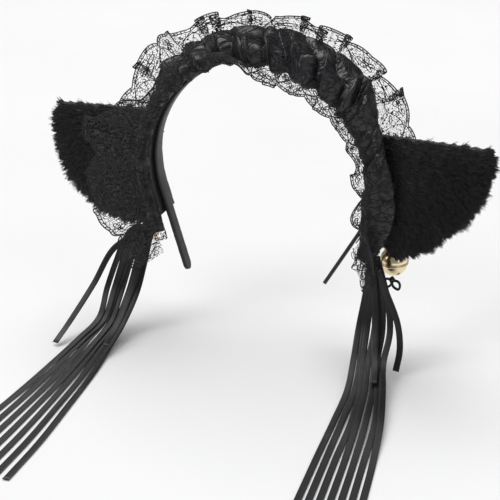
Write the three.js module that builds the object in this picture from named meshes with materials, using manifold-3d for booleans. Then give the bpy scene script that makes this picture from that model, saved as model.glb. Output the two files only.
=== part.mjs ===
import * as THREE from "three";
import Module from "manifold-3d";
import { mergeVertices } from "three/addons/utils/BufferGeometryUtils.js";

// Headband with plush animal ears, a gathered satin and lace trim, two jingle
// bells and ribbon streamers. Millimetres, +Z up, the front faces -Y.
// The origin is the middle of the short flat inside the crown.

// Band: a thin plastic strip in a satin sleeve, bent to a wide C.
const BAND_RADIUS = 70;
const CROWN_FLAT = 15;
const HALF_LENGTH = 188;
const STRAIGHT_FROM = { left: 107, right: 120 };
const CORE = { width: 7.4, thickness: 1.2 };
const SLEEVE = { width: 8.8, thickness: 2.6, wall: 0.45 };
const TIP_LENGTH = 6;
const STATION = 7.5;

// The arms turn on the band's outer face at this run from the crown.
const HINGE_RUN = 60;
const BAND_SLIT = 0.5;
const TRIM_SLIT = 4.4;

// Trim: a base strip over the band, a satin ruffle and two lace edges on it.
const BASE = { inner: 3, outer: 4, width: 24, end: 146 };
const SEAM = 4.6;
const REAR_SEAM = 12.2;
const FRONT_SEAM = -12.9;
const TRIM_END = 144;
const RUFFLE_END_LEFT = 156;
const LACE_END = { left: 168, right: 150 };
const LACE_THICKNESS = 1;

// Ears: two plush panels over a filling, with the root along the band.
const EAR = { root: 76.5, rootTop: 67, rootBottom: 118, edge: 2, bulge: 5.4 };
const PLUSH = { thickness: 1.5, slack: 0.8, least: 0.15, inset: 0.14 };
const EAR_EDGE = [
  [140, -41.5], [143, -52], [142, -68], [134, -87], [119, -103], [100, -112], [81, -112],
];
const SEAM_GAP = 0.35;

// Bells.
const BELL = { radius: 9, wall: 0.7, sides: 22, rings: 6, x: 83, y: 7.3, z: -123 };
const EYELET = { major: 2.2, minor: 0.5 };
const PELLET_RADIUS = 2.4;

// Ribbons.
const RIBBON = { width: 4, thickness: 0.35, layer: 0.65, steps: 18 };
const FLOOR = -182;

// The streamers fall to the floor and run forward on it: height and depth of
// their common route, then the middle and the spacing of the seven on each side.
const ROUTE_Y = [-9.5, -12, -15, -21, -36, -60, -95, -135, -175, -215];
const ROUTE_Z = [-113, -122, -140, -158, -174, -180, FLOOR, FLOOR, FLOOR, FLOOR];
const STREAMERS = {
  left: {
    middle: [75, 80, 85, 89, 91, 93, 93, 93, 93, 94],
    spacing: [1.2, 2.4, 3, 3.2, 2.6, 3.4, 4.8, 6, 7, 7.6],
  },
  right: {
    middle: [75, 77, 79, 80, 81, 86, 91, 95, 99, 103],
    spacing: [0.8, 1.4, 2.6, 3.4, 3.2, 3.6, 4.6, 5.2, 5.6, 6],
  },
};
const STRAY = [0.4, -0.9, 1.1, -0.6, 0.8, -1.2, 0.5];
const TAILS = {
  left: [
    [[79, -16.9, -118], [95, -20, -129], [106, -30, -152], [115, -49, -172], [118, -64, -180]],
    [[76, -16.4, -118], [79, -22, -142], [82, -34, -162], [83, -50, -172], [82, -66, -175]],
  ],
  right: [
    [[79, -17, -118], [86, -19.6, -132], [95, -24, -150], [97.5, -26, -166], [96, -28, -180]],
    [[76, -16.3, -118], [80, -22, -142], [83, -32, -160], [87, -45, -170.5], [90, -58, -174]],
  ],
};

const BLACK_SATIN = { color: 0x101013, roughness: 0.42, metalness: 0 };
const BLACK_LACE = { color: 0x0d0d0f, roughness: 0.8, metalness: 0 };
const BLACK_PLUSH = { color: 0x0b0b0c, roughness: 0.95, metalness: 0 };
const WHITE_FILLING = { color: 0xe6e4de, roughness: 1, metalness: 0 };
const BLACK_PLASTIC = { color: 0x1a1a1c, roughness: 0.5, metalness: 0 };
const PALE_GOLD = { color: 0xd6bf86, roughness: 0.22, metalness: 1 };
const STEEL = { color: 0x9a9a9a, roughness: 0.35, metalness: 1 };

const SIDES = { left: -1, right: 1 };
const headband = new THREE.Group();

const wasm = await Module();
wasm.setup();

function add(name, geometry, look) {
  const mesh = new THREE.Mesh(geometry, new THREE.MeshStandardMaterial(look));
  mesh.name = name;
  headband.add(mesh);
}

// Moves every vertex of a geometry by a rule and sets its normals again.
function reshape(geometry, rule) {
  const position = geometry.attributes.position;
  const point = new THREE.Vector3();
  for (let i = 0; i < position.count; i += 1) {
    point.fromBufferAttribute(position, i);
    rule(point);
    position.setXYZ(i, point.x, point.y, point.z);
  }
  geometry.computeVertexNormals();
  return geometry;
}

// Mirrors a geometry to the left side and keeps its faces pointing out.
function toSide(geometry, sign) {
  if (sign > 0) return geometry;
  const flat = geometry.index ? geometry.toNonIndexed() : geometry;
  const position = flat.attributes.position;
  const a = new THREE.Vector3();
  const b = new THREE.Vector3();
  for (let i = 0; i < position.count; i += 3) {
    a.fromBufferAttribute(position, i);
    b.fromBufferAttribute(position, i + 1);
    position.setXYZ(i, b.x, b.y, b.z);
    position.setXYZ(i + 1, a.x, a.y, a.z);
  }
  return reshape(flat, (p) => {
    p.x = -p.x;
  });
}

// A point beside the band: s runs along it from the crown, h out from its inside.
const FLAT_ANGLE = CROWN_FLAT / 2 / BAND_RADIUS;
const CENTRE = -BAND_RADIUS * Math.cos(FLAT_ANGLE);
function beside(s, y, h) {
  const sign = s < 0 ? -1 : 1;
  const leave = THREE.MathUtils.degToRad(STRAIGHT_FROM[s < 0 ? "left" : "right"]);
  const run = Math.abs(s) / BAND_RADIUS;
  const angle = THREE.MathUtils.clamp(run, FLAT_ANGLE, leave);
  const flat = Math.min(run / FLAT_ANGLE, 1);
  const past = Math.max(run - leave, 0) * BAND_RADIUS;
  const radius = BAND_RADIUS + h;
  const x = flat * radius * Math.sin(angle) + past * Math.cos(angle);
  const z = CENTRE + radius * Math.cos(angle) - past * Math.sin(angle);
  return new THREE.Vector3(sign * x, y, z);
}

// Stations along the band, so that nested layers bend at the same places.
function stations(from, to) {
  const list = [from];
  const first = CROWN_FLAT / 2;
  const count = Math.ceil(HALF_LENGTH / STATION);
  for (let k = -count; k <= count; k += 1) {
    const s = k < 0 ? -first + (k + 1) * STATION : first + k * STATION;
    if (s > from + 0.2 && s < to - 0.2) list.push(s);
  }
  list.push(to);
  return list;
}

// A section drawn in (y, h) and drawn along the band.
function alongBand(section, from, to) {
  const stops = stations(from, to);
  const steps = stops.length - 1;
  const geometry = new THREE.ExtrudeGeometry(section, {
    steps,
    depth: steps,
    bevelEnabled: false,
  });
  return reshape(geometry, (p) => p.copy(beside(stops[Math.round(p.z)], p.x, p.y)));
}

function softBox(width, low, high, round) {
  const w = width / 2;
  const shape = new THREE.Shape();
  shape.moveTo(-w + round, low);
  shape.lineTo(w - round, low);
  shape.lineTo(w, low + round);
  shape.lineTo(w, high - round);
  shape.lineTo(w - round, high);
  shape.lineTo(-w + round, high);
  shape.lineTo(-w, high - round);
  shape.lineTo(-w, low + round);
  shape.closePath();
  return shape;
}

// A gathered strip that stands on the band: lean turns it to the front, and
// drag draws its free edge on along the band.
function gathered(from, to, form) {
  const length = to - from;
  const cols = Math.round(length / form.step);
  const box = new THREE.BoxGeometry(length, form.thickness, 1, cols, 1, form.rows);
  return reshape(box, (p) => {
    const s = p.x + (from + to) / 2;
    const t = p.z + 0.5;
    const lean = THREE.MathUtils.degToRad(form.lean(s));
    const fold = Math.sin((s / form.pitch) * 2 * Math.PI);
    const off = p.y + form.fold * (form.foot + (1 - form.foot) * t) * fold;
    const out = form.reach(s) * t;
    const h = form.h + out * Math.cos(lean) + off * Math.sin(lean);
    const y = form.y - out * Math.sin(lean) + off * Math.cos(lean);
    p.copy(beside(s + form.drag(s) * t, y, h));
  });
}

function scallop(s, pitch, depth) {
  return depth * (Math.abs(Math.sin((s / pitch) * Math.PI)) - 0.5);
}

function ease(value, from, to) {
  return THREE.MathUtils.smoothstep(value, from, to);
}

// Band, sleeve and base strip, in a crown and two arms.
const sleeveSection = softBox(SLEEVE.width, 0, SLEEVE.thickness, 0.6);
const inner = SLEEVE.width / 2 - SLEEVE.wall;
const pocket = new THREE.Path();
pocket.moveTo(-inner, SLEEVE.wall);
pocket.lineTo(-inner, SLEEVE.thickness - SLEEVE.wall);
pocket.lineTo(inner, SLEEVE.thickness - SLEEVE.wall);
pocket.lineTo(inner, SLEEVE.wall);
pocket.closePath();
sleeveSection.holes.push(pocket);
const coreLow = (SLEEVE.thickness - CORE.thickness) / 2;
const coreSection = softBox(CORE.width, coreLow, coreLow + CORE.thickness, 0.2);
const baseSection = softBox(BASE.width, BASE.inner, BASE.outer, 0.2);

const half = BAND_SLIT / 2;
const spans = {
  crown: { from: -HINGE_RUN + half, to: HINGE_RUN - half },
  left: { from: -HALF_LENGTH + TIP_LENGTH, to: -HINGE_RUN - half },
  right: { from: HINGE_RUN + half, to: HALF_LENGTH - TIP_LENGTH },
};
for (const [side, span] of Object.entries(spans)) {
  const base = {
    from: Math.max(span.from, -BASE.end),
    to: Math.min(span.to, BASE.end),
  };
  add(`band_core_${side}`, alongBand(coreSection, span.from, span.to), BLACK_PLASTIC);
  add(`band_sleeve_${side}`, alongBand(sleeveSection, span.from, span.to), BLACK_SATIN);
  add(`base_strip_${side}`, alongBand(baseSection, base.from, base.to), BLACK_SATIN);
}

// Round end of the satin sleeve.
for (const [side, sign] of Object.entries(SIDES)) {
  const start = HALF_LENGTH - TIP_LENGTH + 0.3;
  const w = SLEEVE.width / 2;
  const tip = new THREE.Shape();
  tip.moveTo(0, -w);
  tip.lineTo(HALF_LENGTH - w - start, -w);
  tip.absarc(HALF_LENGTH - w - start, 0, w, -Math.PI / 2, Math.PI / 2);
  tip.lineTo(0, w);
  tip.closePath();
  const cap = new THREE.ExtrudeGeometry(tip, {
    depth: SLEEVE.thickness,
    bevelEnabled: false,
    curveSegments: 6,
  });
  if (sign < 0) cap.rotateZ(Math.PI);
  const placed = reshape(cap, (p) => p.copy(beside(p.x + sign * start, p.y, p.z)));
  add(`band_tip_${side}`, placed, BLACK_SATIN);
}

// Satin ruffle.
const slit = TRIM_SLIT / 2;
const crownRuffle = {
  step: 2.8, rows: 2, thickness: 3, h: SEAM, y: -1,
  fold: 5.4, foot: 0.7, pitch: 17,
  lean: () => 0,
  drag: () => 0,
  reach: (s) => 12.5 + Math.cos(s / 5),
};
add(
  "satin_ruffle_crown",
  gathered(-HINGE_RUN + slit, HINGE_RUN - slit, crownRuffle),
  BLACK_SATIN,
);
function armRuffle(narrow) {
  return {
    step: 2.6, rows: 2, thickness: 2.2, h: SEAM, y: -11.4,
    fold: 1.3, foot: 0.5, pitch: 14,
    lean: (s) => 30 * ease(-s, 140, 150),
    drag: () => 0,
    reach: (s) => 12.5 - narrow * ease(Math.abs(s), 64, 90) - 2.5 * ease(-s, 138, 150),
  };
}
add(
  "satin_ruffle_left",
  gathered(-RUFFLE_END_LEFT, -HINGE_RUN - slit, armRuffle(6)),
  BLACK_SATIN,
);
add(
  "satin_ruffle_right",
  gathered(HINGE_RUN + slit, TRIM_END, armRuffle(1)),
  BLACK_SATIN,
);

// Rear lace stands up behind the ruffle and narrows towards the ends.
const rearLace = {
  step: 3.6, rows: 2, thickness: LACE_THICKNESS, h: SEAM, y: REAR_SEAM,
  fold: 1.4, foot: 0.2, pitch: 15,
  lean: () => -4,
  drag: () => 0,
  reach: (s) => 20 + 12 * ease(-s, 0, 80) - 12 * ease(-s, 95, 140)
    + 3 * ease(s, 10, 60) - 10 * ease(s, 65, 140) + scallop(s, 24, 3.4),
};
add("lace_rear_crown", gathered(-HINGE_RUN + slit, HINGE_RUN - slit, rearLace), BLACK_LACE);
add("lace_rear_left", gathered(-TRIM_END, -HINGE_RUN - slit, rearLace), BLACK_LACE);
add("lace_rear_right", gathered(HINGE_RUN + slit, TRIM_END, rearLace), BLACK_LACE);

// Front lace: it lies over the left ear, stands at the crown, turns in at the right
// and hangs down there over the ribbons.
const frontLace = {
  step: 3.2, rows: 2, thickness: LACE_THICKNESS, h: SEAM,
  fold: 1.2, foot: 0, pitch: 13,
  drag: (s) => 18 * ease(s, 125, 150),
};
add(
  "lace_front_left",
  gathered(-LACE_END.left, -HINGE_RUN - slit, {
    ...frontLace,
    y: -18.5,
    fold: 0.8,
    lean: () => 12,
    reach: (s) => 8 + 28 * ease(-s, 66, 96) - 18 * ease(-s, 112, 168) + scallop(s, 22, 3),
  }),
  BLACK_LACE,
);
add(
  "lace_front_crown",
  gathered(-HINGE_RUN + slit, HINGE_RUN - slit, {
    ...frontLace,
    y: FRONT_SEAM - 1,
    lean: (s) => 25 + 120 * ease(s, -30, 10),
    reach: (s) => 12 + scallop(s, 24, 3),
  }),
  BLACK_LACE,
);
add(
  "lace_front_right",
  gathered(HINGE_RUN + slit, LACE_END.right, {
    ...frontLace,
    y: FRONT_SEAM - 2.4,
    lean: (s) => 145 - 123 * ease(s, 116, 142),
    reach: (s) => 14 + 11 * ease(s, 120, 148) + scallop(s, 26, 5 - 3 * ease(s, 120, 148)),
  }),
  BLACK_LACE,
);

// Ear: u runs out from the root, v down from the top edge.
const earEdge = new THREE.CatmullRomCurve3(
  EAR_EDGE.map(([x, z]) => new THREE.Vector3(x, 0, z)),
);
function earPoint(u, v) {
  const drop = THREE.MathUtils.lerp(EAR.rootTop, EAR.rootBottom, v);
  const angle = THREE.MathUtils.degToRad(drop);
  const root = new THREE.Vector3(
    EAR.root * Math.sin(angle),
    0,
    CENTRE + EAR.root * Math.cos(angle),
  );
  return root.lerp(earEdge.getPoint(v), u);
}
function earHalf(u, v) {
  const dome = Math.sin(Math.PI * Math.min(u + 0.14, 1)) * Math.sin(Math.PI * v);
  return EAR.edge + EAR.bulge * Math.max(dome, 0);
}

// A layer of the ear between two depths through it, 1 and -1 being its faces.
function earLayer(inset, front, back) {
  const box = new THREE.BoxGeometry(1, 1, 1, 7, 1, 8);
  return reshape(box, (p) => {
    const u = inset + (p.x + 0.5) * (1 - 2 * inset);
    const v = inset + (0.5 - p.z) * (1 - 2 * inset);
    const thick = earHalf(u, v);
    const y = p.y < 0 ? front(thick) : back(thick);
    p.copy(earPoint(u, v)).setY(y);
  });
}
for (const [side, sign] of Object.entries(SIDES)) {
  const face = earLayer(0, (t) => -t, (t) => PLUSH.thickness - t);
  const rear = earLayer(0, (t) => t - PLUSH.thickness, (t) => t);
  const skin = PLUSH.thickness + PLUSH.slack;
  const stuffed = (t) => Math.max(t - skin, PLUSH.least);
  const wad = earLayer(PLUSH.inset, (t) => -stuffed(t), stuffed);
  add(`ear_front_panel_${side}`, toSide(face, sign), BLACK_PLUSH);
  add(`ear_back_panel_${side}`, toSide(rear, sign), BLACK_PLUSH);
  add(`ear_filling_${side}`, toSide(wad, sign), WHITE_FILLING);
}

// Bell shells are turned; the lower one has a flange and two crossed slots.
function turned(profile, segments) {
  const points = profile.map(([r, z]) => new THREE.Vector2(r, z));
  const lathe = new THREE.LatheGeometry(points, segments);
  return lathe.rotateX(Math.PI / 2);
}
function quarter(radius, steps, up) {
  const points = [];
  for (let k = 0; k <= steps; k += 1) {
    const angle = (k / steps) * (Math.PI / 2);
    points.push([radius * Math.cos(angle), up * radius * Math.sin(angle)]);
  }
  points[steps][0] = 0;
  return points;
}
const bellInside = BELL.radius - BELL.wall;
const upperProfile = [
  ...quarter(BELL.radius, BELL.rings, 1),
  ...quarter(bellInside, BELL.rings, 1).reverse(),
  [BELL.radius, 0],
];
const lowerProfile = [
  ...quarter(BELL.radius, BELL.rings, -1).slice(2).reverse(),
  [BELL.radius + 0.5, -0.9],
  [BELL.radius + 0.5, 0],
  ...quarter(bellInside, BELL.rings, -1),
];

function toSolid(geometry) {
  const bare = geometry.clone();
  bare.deleteAttribute("normal");
  bare.deleteAttribute("uv");
  const merged = mergeVertices(bare, 1e-3);
  return new wasm.Manifold(
    new wasm.Mesh({
      numProp: 3,
      vertProperties: merged.attributes.position.array,
      triVerts: Uint32Array.from(merged.index.array),
    }),
  );
}
function toGeometry(solid) {
  const mesh = solid.getMesh();
  const geometry = new THREE.BufferGeometry();
  geometry.setAttribute("position", new THREE.BufferAttribute(mesh.vertProperties, 3));
  geometry.setIndex(new THREE.BufferAttribute(mesh.triVerts, 1));
  geometry.computeVertexNormals();
  return geometry;
}

// A slot with round ends, cut up through the bottom of the lower shell.
const SLOT = { length: 12.4, width: 1.3, end: 1.5 };
function slotCutter(turn) {
  const reach = SLOT.length / 2;
  const bar = new THREE.BoxGeometry(SLOT.length, SLOT.width, 12).translate(0, 0, -8);
  let cutter = toSolid(bar.rotateZ(turn));
  for (const end of [-reach, reach]) {
    const hole = new THREE.CylinderGeometry(SLOT.end, SLOT.end, 12, 12);
    hole.rotateX(Math.PI / 2).translate(end, 0, -8).rotateZ(turn);
    cutter = cutter.add(toSolid(hole));
  }
  return cutter;
}
let lowerShell = toSolid(turned(lowerProfile, BELL.sides));
for (const turn of [Math.PI / 4, -Math.PI / 4]) {
  lowerShell = lowerShell.subtract(slotCutter(turn));
}
const lowerBell = toGeometry(lowerShell);
const upperBell = turned(upperProfile, BELL.sides).translate(0, 0, SEAM_GAP);

// Eyelet on the bell, and the oval loop that it hangs on.
const eyeletHeight = BELL.radius + SEAM_GAP * 2 + EYELET.major + EYELET.minor;
const eyelet = new THREE.TorusGeometry(EYELET.major, EYELET.minor, 6, 16);
eyelet.rotateX(Math.PI / 2).translate(0, 0, eyeletHeight);
const LOOP = { major: 2.4, minor: 0.5, stretch: 1.7 };
const loopLow = EYELET.major - EYELET.minor - LOOP.minor - SEAM_GAP;
const hanger = new THREE.TorusGeometry(LOOP.major, LOOP.minor, 6, 16);
hanger.rotateY(Math.PI / 2);
reshape(hanger, (p) => {
  const straight = p.z > 0 ? (LOOP.stretch - 1) * LOOP.major * 2 : 0;
  p.z += straight + LOOP.major + loopLow + eyeletHeight;
});
const pellet = new THREE.SphereGeometry(PELLET_RADIUS, 10, 6);
pellet.rotateX(Math.PI / 2).translate(0, 0, -bellInside + PELLET_RADIUS + 0.4);

for (const [side, sign] of Object.entries(SIDES)) {
  const pieces = {
    bell_upper_shell: [upperBell, PALE_GOLD],
    bell_lower_shell: [lowerBell, PALE_GOLD],
    bell_eyelet: [eyelet, PALE_GOLD],
    bell_pellet: [pellet, STEEL],
    hanger_loop: [hanger, BLACK_SATIN],
  };
  for (const [name, [shape, look]] of Object.entries(pieces)) {
    const placed = shape.clone().translate(BELL.x, BELL.y, BELL.z);
    add(`${name}_${side}`, toSide(placed, sign), look);
  }
}

// Bow: two teardrop loops in one strip of ribbon behind the streamers, and the
// knot that ties them all in front.
const BOW = { x: 86.5, y: -6, z: -127, loop: 8.5, ribbon: 2.4, strip: 0.8 };
const KNOT = { x: 79, y: -18.9, z: -118.5 };
function teardrop(turn, grow) {
  const points = [];
  for (let k = 0; k <= 12; k += 1) {
    const a = THREE.MathUtils.lerp(-0.82, 0.82, k / 12) * Math.PI;
    const r = BOW.loop * 0.36 + grow;
    const along = BOW.loop * 0.62 + r * Math.cos(a);
    const across = r * 0.8 * Math.sin(a);
    points.push(new THREE.Vector2(along, across).rotateAround(new THREE.Vector2(), turn));
  }
  return points;
}
const turns = [-1.1, -2.2];
const bowShape = new THREE.Shape([
  ...teardrop(turns[1], BOW.strip / 2),
  ...teardrop(turns[0], BOW.strip / 2),
]);
for (const turn of turns) {
  bowShape.holes.push(new THREE.Path(teardrop(turn, -BOW.strip / 2).reverse()));
}
const bow = new THREE.ExtrudeGeometry(bowShape, { depth: BOW.ribbon, bevelEnabled: false });
bow.rotateX(Math.PI / 2).translate(BOW.x, BOW.y, BOW.z);
const knot = new THREE.SphereGeometry(2.6, 10, 6);
knot.scale(1.2, 0.5, 1.1).translate(KNOT.x, KNOT.y, KNOT.z);
for (const [side, sign] of Object.entries(SIDES)) {
  add(`bow_loops_${side}`, toSide(bow.clone(), sign), BLACK_SATIN);
  add(`bow_knot_${side}`, toSide(knot.clone(), sign), BLACK_SATIN);
}

// Streamers and short tails. Each ribbon lies a layer in front of the one before.
const ribbonSection = new THREE.Shape();
const rw = RIBBON.width / 2;
const rt = RIBBON.thickness / 2;
ribbonSection.moveTo(rw, -rt / 2);
ribbonSection.lineTo(rw, rt / 2);
ribbonSection.lineTo(rw - 0.3, rt);
ribbonSection.lineTo(-rw + 0.3, rt);
ribbonSection.lineTo(-rw, rt / 2);
ribbonSection.lineTo(-rw, -rt / 2);
ribbonSection.lineTo(-rw + 0.3, -rt);
ribbonSection.lineTo(rw - 0.3, -rt);
ribbonSection.closePath();

// A ribbon along a route: its flat side turns from the front up to the top.
function ribbon(route) {
  const { steps } = RIBBON;
  const section = new THREE.ExtrudeGeometry(ribbonSection, {
    steps,
    depth: steps,
    bevelEnabled: false,
  });
  return reshape(section, (p) => {
    const at = route.getPointAt(p.z / steps);
    const ahead = route.getTangentAt(p.z / steps);
    const across = new THREE.Vector3(1, 0, 0).addScaledVector(ahead, -ahead.x).normalize();
    const face = new THREE.Vector3().crossVectors(ahead, across);
    p.copy(at.addScaledVector(across, p.x).addScaledVector(face, p.y));
  });
}

// The common route of one layer, raised along its own normal until the ribbons
// have spread out side by side on the floor.
function streamerRoute(side, index) {
  const { middle, spacing } = STREAMERS[side];
  const line = ROUTE_Y.map((y, k) => new THREE.Vector3(0, y, ROUTE_Z[k]));
  const points = line.map((point, k) => {
    const ahead = line[Math.min(k + 1, line.length - 1)].clone();
    ahead.sub(line[Math.max(k - 1, 0)]).normalize();
    const settled = ease(spacing[k], 4.4, 5.2);
    const lift = RIBBON.layer * (index * (1 - settled) + 0.5);
    const stray = STRAY[index] * Math.sin(k * 0.9 + index);
    return new THREE.Vector3(
      SIDES[side] * (middle[k] + spacing[k] * (index - 3) + stray * (1 - settled)),
      point.y + lift * ahead.z,
      point.z - lift * ahead.y,
    );
  });
  return new THREE.CatmullRomCurve3(points, false, "centripetal");
}
for (const [side, sign] of Object.entries(SIDES)) {
  STRAY.forEach((_, index) => {
    add(`streamer_${index + 1}_${side}`, ribbon(streamerRoute(side, index)), BLACK_SATIN);
  });
  TAILS[side].forEach((places, index) => {
    const points = places.map(([x, y, z]) => new THREE.Vector3(sign * x, y, z));
    const route = new THREE.CatmullRomCurve3(points, false, "centripetal");
    add(`tail_${index + 1}_${side}`, ribbon(route), BLACK_SATIN);
  });
}

export default headband;
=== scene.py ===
import math

import bmesh
import bpy
import numpy as np
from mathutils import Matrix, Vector


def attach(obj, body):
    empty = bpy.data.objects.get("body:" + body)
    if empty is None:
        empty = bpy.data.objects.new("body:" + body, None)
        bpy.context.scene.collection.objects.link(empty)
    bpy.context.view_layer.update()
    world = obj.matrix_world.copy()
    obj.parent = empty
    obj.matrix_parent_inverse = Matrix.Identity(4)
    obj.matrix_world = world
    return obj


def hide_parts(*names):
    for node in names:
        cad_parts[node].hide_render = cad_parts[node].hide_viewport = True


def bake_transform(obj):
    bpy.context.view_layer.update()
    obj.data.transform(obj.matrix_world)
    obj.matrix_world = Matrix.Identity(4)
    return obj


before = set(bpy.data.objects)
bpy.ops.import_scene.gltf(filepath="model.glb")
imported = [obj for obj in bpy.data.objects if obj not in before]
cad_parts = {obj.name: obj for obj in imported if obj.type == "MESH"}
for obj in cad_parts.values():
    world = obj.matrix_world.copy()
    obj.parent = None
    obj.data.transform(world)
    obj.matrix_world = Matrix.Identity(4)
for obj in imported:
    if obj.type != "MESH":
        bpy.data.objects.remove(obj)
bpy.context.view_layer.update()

MM = 0.001
LEFT, RIGHT = -1, 1
SIDE_NAMES = {LEFT: "left", RIGHT: "right"}

# ---------------------------------------------------------------- camera
AZIMUTH, ELEVATION, DISTANCE = math.radians(19.84), math.radians(23.43), 0.915
TARGET = Vector((-0.009, 0.0, -0.1258))
LENS, SENSOR = 103.3, 36
camera_data = bpy.data.cameras.new("camera")
camera_data.lens = LENS
camera_data.sensor_width = SENSOR
camera = bpy.data.objects.new("camera", camera_data)
bpy.context.scene.collection.objects.link(camera)
back = Vector((
    math.sin(AZIMUTH) * math.cos(ELEVATION),
    -math.cos(AZIMUTH) * math.cos(ELEVATION),
    math.sin(ELEVATION),
))
camera.location = TARGET + back * DISTANCE
camera.rotation_euler = back.to_track_quat("Z", "Y").to_euler()
bpy.context.scene.camera = camera

# ---------------------------------------------------------------- the band's line
BAND_RADIUS = 70.0
CROWN_FLAT = 15.0
HALF_LENGTH = 188.0
LEAVE = {LEFT: math.radians(107), RIGHT: math.radians(120)}
FLAT_ANGLE = CROWN_FLAT / 2 / BAND_RADIUS
CENTRE = -BAND_RADIUS * math.cos(FLAT_ANGLE)


def beside(s, y, h):
    """Points at run s along the band, depth y and height h off its inside, in mm."""
    s, y, h = np.broadcast_arrays(*(np.asarray(a, float) for a in (s, y, h)))
    run = np.abs(s) / BAND_RADIUS
    leave = np.where(s < 0, LEAVE[LEFT], LEAVE[RIGHT])
    angle = np.clip(run, FLAT_ANGLE, leave)
    flat = np.minimum(run / FLAT_ANGLE, 1)
    past = np.maximum(run - leave, 0) * BAND_RADIUS
    radius = BAND_RADIUS + h
    x = flat * radius * np.sin(angle) + past * np.cos(angle)
    z = CENTRE + radius * np.cos(angle) - past * np.sin(angle)
    return np.stack([np.where(s < 0, -x, x), y, z], -1)


def ease(value, low, high):
    t = np.clip((np.asarray(value, float) - low) / (high - low), 0, 1)
    return t * t * (3 - 2 * t)


def ripple(x, seed, period):
    """Smooth noise along one line, from -1 to 1."""
    rng = np.random.default_rng(seed)
    phases = rng.uniform(0, 2 * math.pi, 4)
    scales = np.array([1, 1.73, 2.61, 0.57])
    weights = np.array([0.45, 0.28, 0.17, 0.3])
    x = np.asarray(x, float)[..., None] / period * 2 * math.pi * scales
    return (np.sin(x + phases) * weights).sum(-1)


# ---------------------------------------------------------------- mesh helpers
def make_object(name, points, faces, material, uv=None):
    """A smooth-shaded mesh object from points in mm and faces that may be of mixed sizes."""
    mesh = bpy.data.meshes.new(name)
    mesh.from_pydata((np.asarray(points, float) * MM).tolist(), [], faces)
    mesh.polygons.foreach_set("use_smooth", np.ones(len(mesh.polygons), bool))
    mesh.materials.append(material)
    if uv is not None:
        layer = mesh.uv_layers.new(name="UVMap")
        loops = np.zeros(len(mesh.loops), int)
        mesh.loops.foreach_get("vertex_index", loops)
        layer.data.foreach_set("uv", np.asarray(uv, float)[loops].ravel())
    mesh.update()
    item = bpy.data.objects.new(name, mesh)
    bpy.context.scene.collection.objects.link(item)
    return item


def grid_faces(rows, cols, wrap=False, start=0):
    """Faces of a grid of points stored row by row; wrap joins the last column to the first."""
    r = np.arange(rows - 1)[:, None]
    c = np.arange(cols if wrap else cols - 1)[None, :]
    d = (c + 1) % cols
    quads = np.stack([r * cols + c, r * cols + d, (r + 1) * cols + d, (r + 1) * cols + c], -1)
    return (quads.reshape(-1, 4) + start).tolist()


def ring_faces(rows, cols):
    """Faces of a grid of points that closes on itself both ways."""
    last = (rows - 1) * cols
    faces = grid_faces(rows, cols, True)
    return faces + [[last + c, last + (c + 1) % cols, (c + 1) % cols, c] for c in range(cols)]


def turned_over(faces, over=True):
    """The same faces seen from the other side, where over is true."""
    return [f[::-1] for f in faces] if over else faces


def closed_sheet(front, rear):
    """Points and faces of a closed sheet between two grids of points."""
    rows, cols = front.shape[:2]
    count = rows * cols
    faces = grid_faces(rows, cols) + turned_over(grid_faces(rows, cols, start=count))
    edge = [(0, c) for c in range(cols)]
    edge += [(r, cols - 1) for r in range(1, rows)]
    edge += [(rows - 1, c) for c in range(cols - 2, -1, -1)]
    edge += [(r, 0) for r in range(rows - 2, 0, -1)]
    ids = [r * cols + c for r, c in edge]
    faces += [[b, a, a + count, b + count] for a, b in zip(ids, ids[1:] + ids[:1])]
    return np.concatenate([front.reshape(-1, 3), rear.reshape(-1, 3)]), faces


def unit(v):
    return v / np.maximum(np.linalg.norm(v, axis=-1, keepdims=True), 1e-9)


def swept(lines, sides=6, phase=0.0):
    """One mesh of many closed strands. Each line is (points, normals, width, thickness)."""
    points, faces = [], []
    count = 0
    turn = np.linspace(0, 2 * math.pi, sides, endpoint=False) + phase
    for line, normal, width, thickness in lines:
        line = np.asarray(line, float)
        n = len(line)
        along = unit(np.gradient(line, axis=0))
        across = unit(np.cross(along, normal))
        face = np.cross(across, along)
        width = np.broadcast_to(width, n)[:, None, None] / 2
        thick = np.broadcast_to(thickness, n)[:, None, None] / 2
        ring = (
            line[:, None]
            + across[:, None] * width * np.cos(turn)[None, :, None]
            + face[:, None] * thick * np.sin(turn)[None, :, None]
        )
        points.append(ring.reshape(-1, 3))
        faces += grid_faces(n, sides, True, count)
        faces.append(list(range(count + sides - 1, count - 1, -1)))
        faces.append(list(range(count + (n - 1) * sides, count + n * sides)))
        count += n * sides
    return np.concatenate(points), faces


def fixed_normals(item):
    """Merge points that coincide and turn every face outwards."""
    mesh = bmesh.new()
    mesh.from_mesh(item.data)
    bmesh.ops.remove_doubles(mesh, verts=mesh.verts, dist=1e-6)
    bmesh.ops.recalc_face_normals(mesh, faces=mesh.faces)
    mesh.to_mesh(item.data)
    mesh.free()


def solid(name, points, faces, material):
    """A closed body whose faces all look outwards."""
    item = make_object(name, points, faces, material)
    fixed_normals(item)
    return item


def rigid(item, body, slot, *nodes):
    """A piece that rides one body and replaces these CAD nodes."""
    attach(item, body)
    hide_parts(*nodes)


# ---------------------------------------------------------------- materials
RAMP_PLACES = 0.3, 0.7
# Half the width of the net's threads, as a share of its cells.
NET_THREAD = 0.06


def node_material(name, inputs):
    """A material, its node tree and its shader. The inputs are even over the surface."""
    material = bpy.data.materials.new(name)
    material.use_nodes = True
    shader = material.node_tree.nodes["Principled BSDF"]
    for key, value in inputs.items():
        shader.inputs[key].default_value = value
    return material, material.node_tree, shader


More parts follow.
